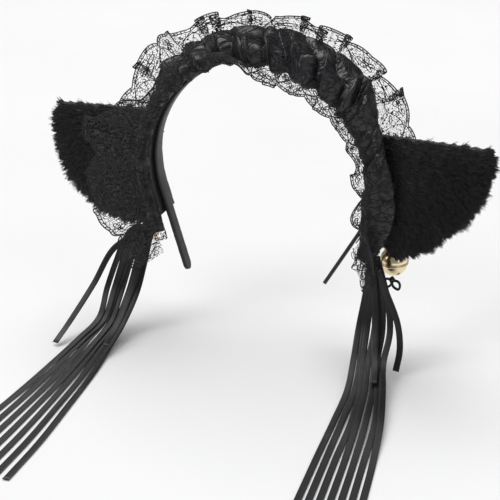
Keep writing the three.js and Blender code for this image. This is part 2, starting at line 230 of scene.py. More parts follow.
def texture(tree, kind, coordinates, zoom, **settings):
    """A texture node on scaled coordinates."""
    mapping = tree.nodes.new("ShaderNodeMapping")
    mapping.inputs["Scale"].default_value = zoom if hasattr(zoom, "__len__") else (zoom,) * 3
    source = tree.nodes.new("ShaderNodeTexCoord")
    tree.links.new(source.outputs[coordinates], mapping.inputs["Vector"])
    item = tree.nodes.new(kind)
    tree.links.new(mapping.outputs["Vector"], item.inputs["Vector"])
    for key, value in settings.items():
        if hasattr(item, key):
            setattr(item, key, value)
        else:
            item.inputs[key.title()].default_value = value
    return item


def noise(tree, coordinates, zoom, detail):
    """Cloudy noise from 0 to 1."""
    item = texture(tree, "ShaderNodeTexNoise", coordinates, zoom, scale=1.0, detail=detail)
    return item.outputs["Fac"]


def colour(tree, shader, value, low, high):
    """Base colour that goes from low to high as the value rises."""
    item = tree.nodes.new("ShaderNodeValToRGB")
    for element, place, shade in zip(item.color_ramp.elements, RAMP_PLACES, (low, high)):
        element.position = place
        element.color = (*shade, 1)
    tree.links.new(value, item.inputs["Fac"])
    tree.links.new(item.outputs["Color"], shader.inputs["Base Color"])


def spread(tree, value, low, high):
    """The value from 0 to 1 as a number from low to high."""
    item = tree.nodes.new("ShaderNodeMapRange")
    item.inputs["To Min"].default_value = low
    item.inputs["To Max"].default_value = high
    tree.links.new(value, item.inputs["Value"])
    return item.outputs["Result"]


def roughness(tree, shader, value, low, high):
    tree.links.new(spread(tree, value, low, high), shader.inputs["Roughness"])


def bump(tree, shader, height, strength, distance):
    item = tree.nodes.new("ShaderNodeBump")
    item.inputs["Strength"].default_value = strength
    item.inputs["Distance"].default_value = distance
    tree.links.new(height, item.inputs["Height"])
    tree.links.new(item.outputs["Normal"], shader.inputs["Normal"])


def satin(name, low, high, rough):
    material, tree, shader = node_material(name, {
        "Sheen Weight": 0.05, "Sheen Roughness": 0.35,
        "Specular IOR Level": 0.5, "Anisotropic": 0.3,
    })
    colour(tree, shader, noise(tree, "Object", 60, 4.0), low, high)
    roughness(tree, shader, noise(tree, "Object", 180, 3.0), *rough)
    bump(tree, shader, noise(tree, "Object", 900, 2.0), 0.25, 0.0002)
    return material


def ribbon_satin():
    """Satin with fine streaks along the ribbon and a weft across it."""
    material, tree, shader = node_material("ribbon_satin", {
        "Sheen Weight": 0.06, "Sheen Roughness": 0.3,
        "Specular IOR Level": 0.42, "Anisotropic": 0.5,
    })
    rib = noise(tree, "UV", (1.6, 0.02, 1), 5.0)
    colour(tree, shader, rib, (0.003, 0.003, 0.0035), (0.014, 0.014, 0.016))
    roughness(tree, shader, rib, 0.28, 0.5)
    bump(tree, shader, noise(tree, "UV", (0.5, 3.5, 1), 2.0), 0.3, 0.0002)
    return material


def thread_material():
    material, tree, shader = node_material("lace_thread", {"Roughness": 0.65})
    twist = noise(tree, "Object", 2200, 2.0)
    colour(tree, shader, twist, (0.003, 0.003, 0.0035), (0.014, 0.014, 0.016))
    bump(tree, shader, twist, 0.5, 0.0002)
    return material


def net_material():
    """Fine net: the threads are opaque and the cells between them clear."""
    material, tree, shader = node_material("lace_net", {"Roughness": 0.8})
    cells = texture(
        tree, "ShaderNodeTexVoronoi", "UV", 0.85,
        feature="DISTANCE_TO_EDGE", scale=1.0, randomness=0.7,
    )
    grey = noise(tree, "UV", 0.4, 2.0)
    colour(tree, shader, grey, (0.02, 0.02, 0.021), (0.06, 0.06, 0.063))
    thread = tree.nodes.new("ShaderNodeMath")
    thread.operation = "LESS_THAN"
    thread.inputs[1].default_value = NET_THREAD
    tree.links.new(cells.outputs["Distance"], thread.inputs[0])
    tree.links.new(thread.outputs["Value"], shader.inputs["Alpha"])
    return material


def fur_material(name, low, high):
    material, tree, shader = node_material(name, {
        "Roughness": 0.42, "Sheen Weight": 0.02, "Specular IOR Level": 0.45,
    })
    # The colour goes at random from low to high, and its lighter patches are painted highlights of
    # the plush strands.
    colour(tree, shader, noise(tree, "Object", 420, 5.0), low, high)
    bump(tree, shader, noise(tree, "Object", 1500, 3.0), 0.6, 0.0006)
    return material


def metal(name, low, high, rough):
    material, tree, shader = node_material(name, {"Metallic": 1.0})
    cloud = noise(tree, "Object", 140, 4.0)
    colour(tree, shader, cloud, low, high)
    roughness(tree, shader, cloud, *rough)
    return material


BAND_SATIN = satin("band_satin", (0.005, 0.005, 0.0055), (0.014, 0.014, 0.016), (0.35, 0.55))
RUFFLE_SATIN = satin("ruffle_satin", (0.003, 0.003, 0.004), (0.012, 0.012, 0.016), (0.26, 0.44))
RIBBON = ribbon_satin()
THREAD = thread_material()
NET = net_material()
# The lighter of each plush material's two colours is a painted strand highlight.
FUR = fur_material("plush_fur", (0.002, 0.002, 0.0022), (0.022, 0.022, 0.023))
FUR_BACKING = fur_material("plush_backing", (0.003, 0.003, 0.003), (0.01, 0.01, 0.01))
GOLD = metal("bell_gold", (0.78, 0.62, 0.33), (0.93, 0.82, 0.58), (0.12, 0.3))
STEEL = metal("pellet_steel", (0.4, 0.4, 0.42), (0.6, 0.6, 0.62), (0.25, 0.4))

# ---------------------------------------------------------------- ribbons
RIBBON_WIDTH, RIBBON_THICK, RIBBON_LAYER = 4.0, 0.35, 0.65
FLOOR = -182.0
# Down the streamers from the knot: the depth and height of their route, then for each side
# where the middle one is and how far apart they are.
ROUTE_Y = [-9.5, -12, -15, -21, -36, -60, -95, -135, -175, -215]
ROUTE_Z = [-113, -122, -140, -158, -174, -180, FLOOR, FLOOR, FLOOR, FLOOR]
STREAMERS = {
    LEFT: (
        [75, 80, 85, 89, 91, 93, 93, 93, 93, 94],
        [1.2, 2.4, 3, 3.2, 2.6, 3.4, 4.8, 6, 7, 7.6],
    ),
    RIGHT: (
        [75, 77, 79, 80, 81, 86, 91, 95, 99, 103],
        [0.8, 1.4, 2.6, 3.4, 3.2, 3.6, 4.6, 5.2, 5.6, 6],
    ),
}
# How far each streamer strays from even spacing, and how far apart they lie flat side by side.
STRAY = [0.4, -0.9, 1.1, -0.6, 0.8, -1.2, 0.5]
SETTLED = 4.4, 5.2
STREAMER_STEPS, TAIL_STEPS = 90, 40
TAILS = {
    LEFT: [
        [(79, -16.9, -118), (95, -20, -129), (106, -30, -152), (115, -49, -172), (118, -64, -180)],
        [(76, -16.4, -118), (79, -22, -142), (82, -34, -162), (83, -50, -172), (82, -66, -175)],
    ],
    RIGHT: [
        [(79, -17, -118), (86, -19.6, -132), (95, -24, -150), (97.5, -26, -166), (96, -28, -180)],
        [(76, -16.3, -118), (80, -22, -142), (83, -32, -160), (87, -45, -170.5), (90, -58, -174)],
    ],
}


def spline(points, count):
    """A smooth centripetal curve through the points, as count points evenly spaced along it."""
    p = np.asarray(points, float)
    p = np.vstack([2 * p[0] - p[1], p, 2 * p[-1] - p[-2]])
    dense = []
    for a, b, c, d in zip(p[:-3], p[1:-2], p[2:-1], p[3:]):
        t0, t1 = 0.0, math.sqrt(np.linalg.norm(b - a))
        t2 = t1 + math.sqrt(np.linalg.norm(c - b))
        t3 = t2 + math.sqrt(np.linalg.norm(d - c))
        t = np.linspace(t1, t2, 40, endpoint=False)[:, None]
        ab = a + (b - a) * (t - t0) / (t1 - t0)
        bc = b + (c - b) * (t - t1) / (t2 - t1)
        cd = c + (d - c) * (t - t2) / (t3 - t2)
        abc = ab + (bc - ab) * (t - t0) / (t2 - t0)
        bcd = bc + (cd - bc) * (t - t1) / (t3 - t1)
        dense.append(abc + (bcd - abc) * (t - t1) / (t2 - t1))
    dense = np.vstack(dense + [p[-2:-1]])
    run = np.concatenate([[0], np.cumsum(np.linalg.norm(np.diff(dense, axis=0), axis=1))])
    even = np.linspace(0, run[-1], count)
    return np.stack([np.interp(even, run, dense[:, k]) for k in range(3)], 1), run[-1]


def streamer_route(side, index):
    """Streamers lie in layers where they are close, and side by side where they have room."""
    middle, spacing = STREAMERS[side]
    line = np.stack([np.zeros(len(ROUTE_Y)), ROUTE_Y, ROUTE_Z], 1)
    last = len(line) - 1
    points = []
    for k, point in enumerate(line):
        ahead = line[min(k + 1, last)] - line[max(k - 1, 0)]
        ahead = ahead / np.linalg.norm(ahead)
        settled = float(ease(spacing[k], *SETTLED))
        lift = RIBBON_LAYER * (index * (1 - settled) + 0.5)
        stray = STRAY[index] * math.sin(k * 0.9 + index) * (1 - settled)
        points.append((
            side * (middle[k] + spacing[k] * (index - 3) + stray),
            point[1] + lift * ahead[2],
            point[2] - lift * ahead[1],
        ))
    return points


def ribbon(name, route, side, steps):
    """A flat satin ribbon along a route: its face turns from the front up to the top."""
    path, length = spline(route, steps)
    along = unit(np.gradient(path, axis=0))
    across = unit(np.array([1.0, 0, 0]) - along * along[:, :1])
    face = np.cross(along, across)
    w, t = RIBBON_WIDTH / 2, RIBBON_THICK / 2
    section = np.array([
        (w, -0.3 * t), (w, 0.3 * t), (0.93 * w, 0.8 * t), (0.5 * w, t), (0, 0.9 * t),
        (-0.5 * w, t), (-0.93 * w, 0.8 * t), (-w, 0.3 * t), (-w, -0.3 * t),
        (-0.93 * w, -0.8 * t), (0, -t), (0.93 * w, -0.8 * t),
    ])
    sides = len(section)
    ring = (
        path[:, None]
        + across[:, None] * section[None, :, :1]
        + face[:, None] * section[None, :, 1:]
    )
    faces = turned_over(grid_faces(steps, sides, True))
    faces.append(list(range(sides)))
    faces.append(list(range(steps * sides - 1, (steps - 1) * sides - 1, -1)))
    uv = np.zeros((steps, sides, 2))
    uv[..., 0] = section[None, :, 0]
    uv[..., 1] = np.linspace(0, length, steps)[:, None]
    item = make_object(name, ring.reshape(-1, 3), faces, RIBBON, uv=uv.reshape(-1, 2))
    rigid(item, f"arm_{SIDE_NAMES[side]}", "ribbon", name.removesuffix("_ribbon"))


for side, side_name in SIDE_NAMES.items():
    for index in range(len(STRAY)):
        ribbon(
            f"streamer_{index + 1}_{side_name}_ribbon",
            streamer_route(side, index), side, STREAMER_STEPS,
        )
    for index, places in enumerate(TAILS[side]):
        ribbon(
            f"tail_{index + 1}_{side_name}_ribbon",
            [(side * x, y, z) for x, y, z in places], side, TAIL_STEPS,
        )


def grid_normals(grid):
    """Unit normals of a grid of points, rows by columns."""
    return unit(np.cross(np.gradient(grid, axis=1), np.gradient(grid, axis=0)))


def thick_grid(grid, thickness):
    """A closed sheet of even thickness about a grid of points."""
    shift = grid_normals(grid) * thickness / 2
    return closed_sheet(grid + shift, grid - shift)


def across_arm(item, side, slot, *nodes):
    """Fabric over the crown and one arm: its place is baked into its mesh, and it replaces these
    CAD nodes.
    """
    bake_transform(item)
    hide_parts(*nodes)


# ---------------------------------------------------------------- band in its satin sleeve
SLEEVE_WIDTH, SLEEVE_HEIGHT, SLEEVE_SIDES = 8.8, 2.6, 28
TIP = 5.0
BASE_LENGTH, BASE_HALF, BASE_THICK = 146.0, 12.0, 0.7


def band(side):
    """Half of the plastic band in its satin sleeve, with a rounded tip and puckered rims."""
    name = SIDE_NAMES[side]
    tip = HALF_LENGTH - TIP + TIP * np.sin(np.linspace(0.1, math.pi / 2, 9))
    s = np.concatenate([np.linspace(0, HALF_LENGTH - TIP, 240), tip])
    width = np.full(len(s), SLEEVE_WIDTH / 2)
    past = np.clip((s - (HALF_LENGTH - SLEEVE_WIDTH / 2)) / (SLEEVE_WIDTH / 2), 0, 0.998)
    width = width * np.sqrt(1 - past**2)
    turn = np.linspace(0, 2 * math.pi, SLEEVE_SIDES, endpoint=False)
    c, n = np.cos(turn), np.sin(turn)
    flat_y = np.sign(c) * np.abs(c) ** 0.35
    flat_h = np.sign(n) * np.abs(n) ** 0.6
    pucker = 0.1 * ripple(s, 4, 9) + 0.05 * ripple(s, 5, 3)
    y = width[:, None] * flat_y[None]
    rim = np.abs(flat_y)[None] > 0.9
    h = SLEEVE_HEIGHT / 2 * (1 + flat_h[None] * (0.96 + pucker[:, None] * rim))
    points = beside(side * np.maximum(s, 1e-6)[:, None], y, h)
    first = list(range(SLEEVE_SIDES))
    last = list(range((len(s) - 1) * SLEEVE_SIDES, len(s) * SLEEVE_SIDES))
    faces = turned_over(grid_faces(len(s), SLEEVE_SIDES, True), side > 0)
    faces += turned_over([first], side < 0) + turned_over([last], side > 0)
    item = make_object(f"band_{name}_satin_sleeve", points.reshape(-1, 3), faces, BAND_SATIN)
    across_arm(
        item, side, "band_satin", "band_core_crown", "band_sleeve_crown",
        f"band_core_{name}", f"band_sleeve_{name}", f"band_tip_{name}",
    )


def base_strip(side):
    """The satin strip on the band that the ruffle, lace and ears are sewn to."""
    name = SIDE_NAMES[side]
    s = np.linspace(0, BASE_LENGTH, 150)
    y = np.linspace(-BASE_HALF, BASE_HALF, 17)
    grid_s, grid_y = np.meshgrid(s, y)
    h = 3.5 + 0.12 * ripple(grid_s, 8, 11) * np.abs(grid_y) / BASE_HALF
    grid = beside(side * np.maximum(grid_s, 1e-6), grid_y, h)
    points, faces = thick_grid(grid, BASE_THICK)
    item = make_object(f"base_{name}_satin", points, turned_over(faces, side > 0), BAND_SATIN)
    across_arm(item, side, "band_satin", "base_strip_crown", f"base_strip_{name}")


# ---------------------------------------------------------------- gathered satin
# Where along the arms the covering lace ends, and where the satin does, a little short of it.
RUFFLE_END = {LEFT: 157.0, RIGHT: 156.0}
SATIN_END = {LEFT: 152.0, RIGHT: 149.0}
# The lowest and highest the cloth stands off the band where it is caught at the arm's end.
CAUGHT_AT = {LEFT: (3.2, 12.0), RIGHT: (10.0, 18.0)}
CAUGHT_OVER = {LEFT: 17, RIGHT: 34}
SATIN_COLUMNS, SATIN_ROWS, SATIN_THICK = 460, 56, 0.4
# Across the band: depth and height of the satin, from its front seam over to its rear one.
CROWN_PROFILE = {
    LEFT: [
        (-12.2, 3.6), (-14.2, 1.6), (-16.6, 4.6), (-16.2, 9.4),
        (-11.5, 14), (-4, 16.4), (4, 17.4), (10, 17.6),
    ],
    RIGHT: [
        (-12.2, 3.4), (-14.8, -1.6), (-17.6, 0.8), (-17.6, 7),
        (-12.6, 12.8), (-5, 15.8), (3, 17), (10, 17.4),
    ],
}
ARM_PROFILE = {
    LEFT: [
        (-12.2, 3.6), (-13.2, 2.0), (-14.8, 3.2), (-15.2, 6),
        (-14.8, 8.6), (-13.4, 10.4), (-11.6, 10.8), (-10.2, 10),
    ],
    RIGHT: [
        (-12.2, 3.4), (-13.8, -1.4), (-15.8, 0.6), (-16.2, 5),
        (-15.8, 9.6), (-14.4, 13.6), (-12, 16), (-9.6, 15),
    ],
}


def profile_at(profile, v):
    """Smooth curve through a profile's points, v from 0 to 1."""
    path, _ = spline(np.column_stack([profile, np.zeros(len(profile))]), 60)
    where = np.linspace(0, 1, 60)
    return np.stack([np.interp(v, where, path[:, k]) for k in range(2)], -1)


def satin_grid(side):
    """The gathered satin's middle surface, rows from its front seam over to its rear one."""
    grid_u, grid_v = np.meshgrid(
        np.linspace(0, 1, SATIN_COLUMNS), np.linspace(0, 1, SATIN_ROWS),
    )
    s = grid_u * RUFFLE_END[side]
    signed = side * s
    arm = ease(s, 56, 78)[..., None]
    crown = profile_at(CROWN_PROFILE[side], grid_v)
    # Over the middle the two sides share one profile.
    mixed = ease(s, 0, 26)[..., None]
    left, right = (profile_at(CROWN_PROFILE[k], grid_v) for k in (LEFT, RIGHT))
    crown = (left + right) / 2 * (1 - mixed) + crown * mixed
    base = crown * (1 - arm) + profile_at(ARM_PROFILE[side], grid_v) * arm
    arm = arm[..., 0]
    slope = unit(np.gradient(base, axis=0))
    out = np.stack([-slope[..., 1], slope[..., 0]], -1)
    # Pleats cross the band aslant; they swell between the two seams and pinch at them.
    warp = 7 * ripple(signed + 5 * grid_v, 21, 46) + 7 * grid_v * ripple(signed, 22, 50)
    slant = 16 * (grid_v - 0.5) * (1 + 0.6 * ripple(signed, 28, 70))
    phase = (signed + warp + slant) / 15 * math.pi
    puff = np.abs(np.sin(phase)) ** 0.7
    cross = np.sin(2.2 * math.pi * grid_v + 1.8 * ripple(signed, 26, 24) + phase * 0.5)
    swell = np.sin(math.pi * np.clip(grid_v, 0, 1)) ** 0.55
    crown_size = 1.4 + 4.0 * swell
    arm_size = (0.5 + 1.7 * swell) if side > 0 else (0.3 + 0.7 * swell)
    size = crown_size * (1 - arm) + arm_size * arm
    lift = size * (puff - 0.62 + 0.36 * cross * swell)
    # Finer wrinkles, then sharp creases, both calmer down the arm.
    fine = 0.55 * np.abs(ripple(signed + 14 * grid_v, 24, 7.5)) * (0.6 + 0.4 * cross)
    fine = fine + 0.2 * ripple(signed - 18 * grid_v, 25, 3.6)
    fine = fine + 0.09 * ripple(signed + 30 * grid_v, 27, 1.9)
    valley = np.sin(phase * 0.5 + 2.6 * grid_v + ripple(signed, 29, 30))
    crease = -0.9 * np.exp(-(valley / 0.14) ** 2)
    lift = lift + (fine + crease) * swell * (1 - 0.45 * arm)
    drift = size * 0.6 * np.sin(2 * phase + 1.2 * grid_v) * swell
    y = base[..., 0] + out[..., 0] * lift
    h = base[..., 1] + out[..., 1] * lift
    if side > 0:
        # The right arm's panel is narrow at the ear's middle and wide below it.
        waist = 1 - 0.2 * np.exp(-((s - 92) / 13) ** 2) + 0.14 * ease(s, 106, 126)
        h = h * (1 - arm) + h * waist * arm
    # The cloth closes in where it is caught at the arm's end.
    end = RUFFLE_END[side]
    caught = ease(s, end - CAUGHT_OVER[side], end)
    h = h + (np.clip(h, *CAUGHT_AT[side]) - h) * caught
    y = y + (np.maximum(y, -15.0) - y) * caught
    # It clears the base strip, and hangs a little past the place where it is caught.
    h = np.where((y > -12.4) & (y < 12.4), np.maximum(h, 4.5), h)
    hang = 4 * ease(s, end - 26, end)
    return beside(signed + drift * 0.8 * (1 - caught) + side * hang, y, h)


def satin_ruffle(side, grid):
    name = SIDE_NAMES[side]
    share = SATIN_END[side] / RUFFLE_END[side]
    points, faces = thick_grid(grid[:, :int(grid.shape[1] * share)], SATIN_THICK)
    faces = turned_over(faces, side > 0)
    item = make_object(f"satin_ruffle_{name}_cloth", points, faces, RUFFLE_SATIN)
    across_arm(item, side, "ruffle_satin", "satin_ruffle_crown", f"satin_ruffle_{name}")


# ---------------------------------------------------------------- lace
NET_STEP, NET_ROWS, THREAD_SIDES, THREAD_STEP = 0.9, 18, 4, 0.8
# Between the two lines of the border, and from one rung of its ladder to the next.
BORDER, RUNG = 1.7, 1.95
COVER_LIFT = 0.55
REAR_HEIGHT, FRONT_HEIGHT, COVER_HEIGHT = 30.0, {LEFT: 26.0, RIGHT: 18.0}, 26.0


class Lace:
    """Gathered lace: flat cloth (u along it in mm, t up it as a share) mapped onto the band.

    reach, lean, drag, seam and swing are functions of the run along the band: the height of
    the lace, how far it leans forwards in degrees, how far its edge is pulled along the band,
    the depth of its seam and the depth of its folds. The folds repeat every pitch mm, and the
    scallops of its edge are depth deep and lobe mm long.
    """

    def __init__(
        self, side, end, gather, seed, reach, lean, drag, seam, swing, pitch, depth, lobe,
    ):
        self.side, self.end, self.seed, self.length = side, end, seed, end * gather
        self.reach, self.lean, self.drag, self.seam = reach, lean, drag, seam
        self.swing, self.pitch, self.depth, self.lobe = swing, pitch, depth, lobe

    def edge(self, u):
        """Height of the cloth at its scalloped edge, as a share of its full height."""
        wave = np.abs(np.sin(math.pi * u / self.lobe))
        small = np.abs(np.sin(3 * math.pi * u / self.lobe))
        return 1 - self.depth * (1 - wave**0.7) - 0.035 * (1 - small)

    def place(self, u, t):
        u, t = np.broadcast_arrays(np.asarray(u, float), np.asarray(t, float))
        run = self.end * u / self.length
        stray = 0.3 * self.pitch * ripple(run * self.side, self.seed, 2.6 * self.pitch)
        phase = 2 * math.pi * (run + stray) / self.pitch
        height = np.clip(t, 0, 1.2)
        open_up = 0.1 + 0.9 * ease(height, 0, 0.8)
        # The folds die out at the end, and at the middle, where the two halves meet in one plane.
        fade = ease(self.end - run, -1, 8) * ease(run, 0, 9)
        size = self.swing(run) * open_up * fade
        s = run + 0.85 * size * np.sin(2 * phase) + self.drag(run) * t
        off = size * np.sin(phase) + 0.22 * size * np.sin(2.7 * phase + self.seed)
        foot = (1 - ease(height, 0, 0.45)) * 0.5 * np.sin(6.3 * phase) * fade
        lean = np.radians(self.lean(run))
        sway = 1 + 0.06 * ripple(run * self.side, self.seed + 5, 34)
        out = self.reach(run) * t * sway
        h = 4.6 + out * np.cos(lean) + off * np.sin(lean)
        y = self.seam(run) - out * np.sin(lean) + (off + foot) * np.cos(lean)
        return beside(self.side * np.maximum(s, 0.0), y, h)

    def strand(self, u, t, width, thick=0.35):
        """A thread over flat places, as one line for swept()."""
        u, t = np.asarray(u, float), np.asarray(t, float)
        points = self.place(u, t)
        du = self.place(u + 0.4, t) - self.place(u - 0.4, t)
        dt = self.place(u, t + 0.02) - self.place(u, t - 0.02)
        return points, unit(np.cross(du, dt)), width, thick


class Cover(Lace):
    """Lace that lies over the satin, a little off its surface.

    rows says where its seam and its edge are, as shares of the satin's rows.
    """

    def __init__(self, side, grid, length, lobe, depth, rows):
        self.length, self.lobe, self.depth, self.rows = length, lobe, depth, rows
        self.grid = grid + grid_normals(grid) * side * COVER_LIFT

    def place(self, u, t):
        u, t = np.broadcast_arrays(np.asarray(u, float), np.asarray(t, float))
        total_rows, total_cols = self.grid.shape[:2]
        col = np.clip(u / self.length, 0, 1) * (total_cols - 1.001)
        low, high = self.rows
        row = np.clip(low + (high - low) * t, 0, 1) * (total_rows - 1.001)
        c, r = col.astype(int), row.astype(int)
        fc, fr = (col - c)[..., None], (row - r)[..., None]
        g = self.grid
        return (
            (g[r, c] * (1 - fc) + g[r, c + 1] * fc) * (1 - fr)
            + (g[r + 1, c] * (1 - fc) + g[r + 1, c + 1] * fc) * fr
        )


def oval(u0, t0, long, wide, turn, height, count=12, share=1.0):
    """A closed or open oval in flat lace, sizes in mm, t as a share of height."""
    a = np.linspace(0, 2 * math.pi * share, count)
    x = long * np.cos(a)
    z = wide * np.sin(a)
    return (
        u0 + x * math.cos(turn) - z * math.sin(turn),
        t0 + (x * math.sin(turn) + z * math.cos(turn)) / height,
    )


def lace_threads(lace, rng, height, weight=1.0, scrolls=16):
    """Borders, ladder, vines, flowers and leaves, as lines for swept()."""
    lines = []

    def thread(u, t, width, thick=0.4):
        lines.append(lace.strand(u, t, width * weight, thick))

    u = np.linspace(0, lace.length, int(lace.length / THREAD_STEP))
    gap = BORDER / height
    thread(u, lace.edge(u), 0.85, 0.6)
    thread(u, lace.edge(u) - gap, 0.7, 0.5)
    for r in np.arange(0.9, lace.length - 0.8, RUNG):
        top = float(lace.edge(np.array(r)))
        thread([r, r, r], [top, top - gap / 2, top - gap], 0.75, 0.45)
    lobes = int(round(lace.length / lace.lobe))
    for k in range(lobes):
        left, right = k * lace.lobe, (k + 1) * lace.lobe
        middle = (left + right) / 2
        top = float(lace.edge(np.array(middle)))
        cusp = float(lace.edge(np.array(left)))
        a = np.linspace(0, 1, 24)
        # Two vines wind down from each cusp, and an arch spans the lobe.
        down = (cusp - gap) * (1 - a)
        thread(left + 3.6 * np.sin(a * 3.1) + lace.lobe * 0.2 * a, down + 0.05 * a, 0.65)
        thread(left - 1.4 * np.sin(a * 5), down + 0.02 * a, 0.5)
        arch = cusp - 0.1 - 0.32 * np.sin(math.pi * a) + 0.05 * np.sin(5 * math.pi * a)
        thread(left + (right - left) * a, arch, 0.65)
        # A flower each side of the lobe's middle, clear of the border, and four leaves.
        for place in (0.3, 0.72):
            fu = left + lace.lobe * place + rng.uniform(-1.2, 1.2)
            ft = float(lace.edge(np.array(fu))) - rng.uniform(0.2, 0.27)
            petals, size = int(rng.integers(4, 6)), rng.uniform(2.0, 2.7)
            for p in range(petals):
                turn = 2 * math.pi * p / petals + rng.uniform(-0.1, 0.1) + k
                cu, ct = fu + size * math.cos(turn), ft + size * math.sin(turn) / height
                if ct < top - gap - 1.2 / height:
                    thread(*oval(cu, ct, 1.6, 1.1, turn, height, 11), 0.6)
            thread(*oval(fu, ft, 0.75, 0.75, 0, height, 8), 0.8, 0.5)
        for way in (-1, 1):
            lu, lt = middle + way * lace.lobe * 0.3, top - 0.42
            thread(*oval(lu, lt, 2.6, 1.0, way * 0.8 + 0.4, height, 12), 0.55)
            thread(*oval(lu + way * 1.6, lt - 0.16, 2.0, 0.9, -way * 0.7, height, 11), 0.55)
        # Scrolls fill the lower half, where the pattern is dense.
        for _ in range(scrolls):
            ou, ot = rng.uniform(left, right), rng.uniform(0.03, 0.5)
            long = rng.uniform(1.2, 3.2)
            thread(*oval(
                ou, ot, long, long * rng.uniform(0.3, 0.7), rng.uniform(0, 3.14),
                height, 11, rng.uniform(0.6, 1),
            ), 0.5, 0.35)
    return lines


def lace_half(side, where, lace, nodes, height):
    """One net sheet and its threads."""
    name = f"lace_{where}_{SIDE_NAMES[side]}"
    cols = int(lace.length / NET_STEP)
    grid_u, share = np.meshgrid(np.linspace(0, lace.length, cols), np.linspace(0, 1, NET_ROWS))
    grid_t = share * lace.edge(grid_u)
    grid = lace.place(grid_u, grid_t)
    uv = np.stack([grid_u, grid_t * height], -1).reshape(-1, 2)
    net = make_object(f"{name}_net", grid.reshape(-1, 3), grid_faces(NET_ROWS, cols), NET, uv=uv)
    rng = np.random.default_rng(lace.seed + 100)
    points, faces = swept(lace_threads(lace, rng, height), THREAD_SIDES, math.pi / 4)
    threads = make_object(f"{name}_threads", points, faces, THREAD)
    for item in (net, threads):
        across_arm(item, side, "lace", *nodes)


def flat(value):
    """The same value all along the band."""
    return lambda run: value + 0 * run


def rear_reach(side):
    """The rear lace is tallest left of the middle and lower down the arms."""
    def reach(run):
        s = side * run
        fall = 12 * ease(-s, 95, 140) + 10 * ease(s, 65, 140)
        return 21.4 + 12 * ease(-s, 0, 80) + 3 * ease(s, 10, 60) - fall
    return reach


def left_reach(run):
    swell = 28 * ease(run, 66, 96) - 11 * ease(run, 120, 168)
    return 12 + 3 * ease(8 - run, 0, 8) - 2.5 * ease(run, 50, 66) + swell


def right_reach(run):
    waves = 2.6 * np.cos(2 * math.pi * (run - 101) / 25)
    waves = waves * ease(run, 76, 90) * (1 - ease(run, 120, 134))
    return 15 - 3 * ease(run, 30, 70) + waves + 12 * ease(run, 120, 148)


def left_lean(run):
    middle = 25 + 120 * ease(-run, -30, 10)
    return middle * (1 - ease(run, 52, 64)) + 12 * ease(run, 52, 64)


FRONT_LACE = {
    LEFT: dict(
        end=168.0, seed=41, lobe=26.9, reach=left_reach, lean=left_lean,
        drag=lambda run: 9 * ease(run, 118, 160),
        seam=lambda run: -15.6 - 3.4 * ease(run, 50, 64),
        swing=lambda run: 2.0 + 0.9 * ease(run, 80, 110),
    ),
    RIGHT: dict(
        end=150.0, seed=47, lobe=24.0, reach=right_reach,
        lean=lambda run: 25 + 120 * ease(run, -30, 10) - 123 * ease(run, 116, 142),
        drag=lambda run: 18 * ease(run, 125, 150),
        seam=flat(-15.6),
        swing=lambda run: 1.8 + 1.4 * ease(run, 100, 140),
    ),
}

for side, side_name in SIDE_NAMES.items():
    band(side)
    base_strip(side)
    cloth = satin_grid(side)
    satin_ruffle(side, cloth)
    rear = Lace(
        side, end=144.0, gather=1.4, seed={LEFT: 31, RIGHT: 37}[side],
        reach=rear_reach(side), lean=flat(-4), drag=flat(0), seam=flat(12.2), swing=flat(5.4),
        pitch=33.0, depth=0.16, lobe=28.8,
    )
    lace_half(side, "rear", rear, ["lace_rear_crown", f"lace_rear_{side_name}"], REAR_HEIGHT)
    front = Lace(side, gather=1.28, pitch=27.0, depth=0.18, **FRONT_LACE[side])
    lace_half(
        side, "front", front, ["lace_front_crown", f"lace_front_{side_name}"],
        FRONT_HEIGHT[side],
    )
    cover = Cover(side, cloth, RUFFLE_END[side] * 1.2, lobe=24.0, depth=0.16, rows=(0.95, 0.03))
    rng = np.random.default_rng(93 + side)
    lines = lace_threads(cover, rng, COVER_HEIGHT, weight=0.8, scrolls=26)
    points, faces = swept(lines, THREAD_SIDES, math.pi / 4)
    over = make_object(f"lace_over_satin_{side_name}_threads", points, faces, THREAD)
    across_arm(over, side, "lace", f"lace_front_{side_name}")

# ---------------------------------------------------------------- ears
EAR_ROOT, EAR_TOP, EAR_BOTTOM = 76.5, math.radians(67), math.radians(118)
# Half the ear's thickness at its edge, and how much more it has in the middle.
EAR_EDGE_HALF, EAR_BULGE = 2.0, 5.4
EAR_CELLS = 44
# The pile on each face: its word, its strands and its random draws.
PILE = {-1: ("front", 12000, 71), 1: ("back", 11000, 75)}
STRAND_POINTS, STRAND_MESH, TUFT = 4, 10, 4.2
# Round the free edge, from the tip down to the root. The right ear is stuffed flatter at its tip.
EAR_OUTLINE = {
    LEFT: [(140, -41.5), (143, -52), (142, -68), (134, -87), (119, -103), (100, -112), (81, -112)],
    RIGHT: [
        (143, -41.5), (142.5, -52), (139.5, -66), (132.5, -78), (123, -89),
        (110.5, -100.5), (96.5, -109.5), (81, -112),
    ],
}


def ear_point(side, u, v):
    """Middle surface of an ear, as on the right: u out from the root, v down from the top edge."""
    u, v = np.broadcast_arrays(np.asarray(u, float), np.asarray(v, float))
    drop = EAR_TOP + (EAR_BOTTOM - EAR_TOP) * v
    root = np.stack([EAR_ROOT * np.sin(drop), 0 * u, CENTRE + EAR_ROOT * np.cos(drop)], -1)
    outline, _ = spline([(x, 0, z) for x, z in EAR_OUTLINE[side]], 200)
    where = np.linspace(0, 1, len(outline))
    edge = np.stack([np.interp(v, where, outline[:, k]) for k in range(3)], -1)
    above = np.minimum(v, 0) * 62
    return root + (edge - root) * u[..., None] - above[..., None] * np.array([0, 0, 1.0])


def ear_half(u, v):
    """Half the ear's thickness."""
    dome = np.sin(math.pi * np.minimum(u + 0.14, 1)) * np.sin(math.pi * v)
    return EAR_EDGE_HALF + EAR_BULGE * np.maximum(dome, 0)


